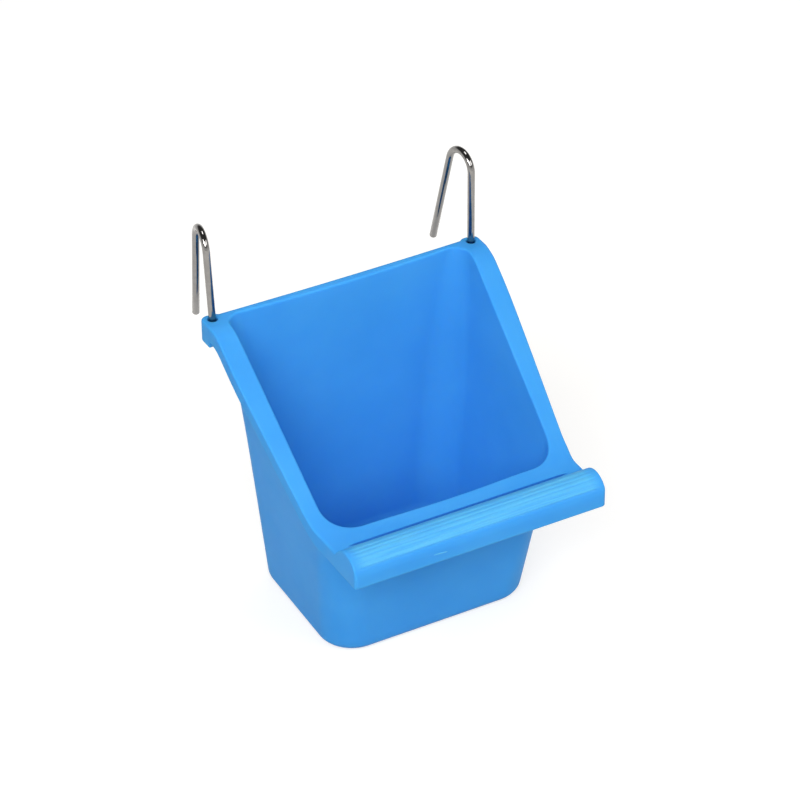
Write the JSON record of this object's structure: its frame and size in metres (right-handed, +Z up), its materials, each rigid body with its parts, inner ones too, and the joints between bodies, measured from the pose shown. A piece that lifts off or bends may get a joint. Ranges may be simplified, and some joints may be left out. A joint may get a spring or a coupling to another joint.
{
  "type": "bird feeder cup",
  "caption": "Moulded seed cup with a sloping mouth and a ribbed perch lip, hung by wire hooks that swivel in its back corners.",
  "frame": {"origin": "middle of the cup's flat base", "axes": "+Z up, -Y towards the perch lip, +Y towards the hooks and the cage, +X to the right seen from the perch side"},
  "size_m": [0.074, 0.0835, 0.0969],
  "materials": {
    "cup_plastic": "moulded polypropylene, softly glossy",
    "hook_wire": "bright plated steel wire"
  },
  "bodies": {
    "cup": {"cup": "cup_plastic"},
    "left_hook": {"left_hook": "hook_wire"},
    "right_hook": {"right_hook": "hook_wire"}
  },
  "joints": [
    {"name": "left_hook_swivel", "type": "hinge", "parent": "cup", "child": "left_hook", "pos_m": [-0.0345, 0.0224, 0.0716], "axis": [0, 0, 1], "range_deg": [-68, 176]},
    {"name": "right_hook_swivel", "type": "hinge", "parent": "cup", "child": "right_hook", "pos_m": [0.0345, 0.0224, 0.0716], "axis": [0, 0, 1], "range_deg": [-168, 76]}
  ]
}
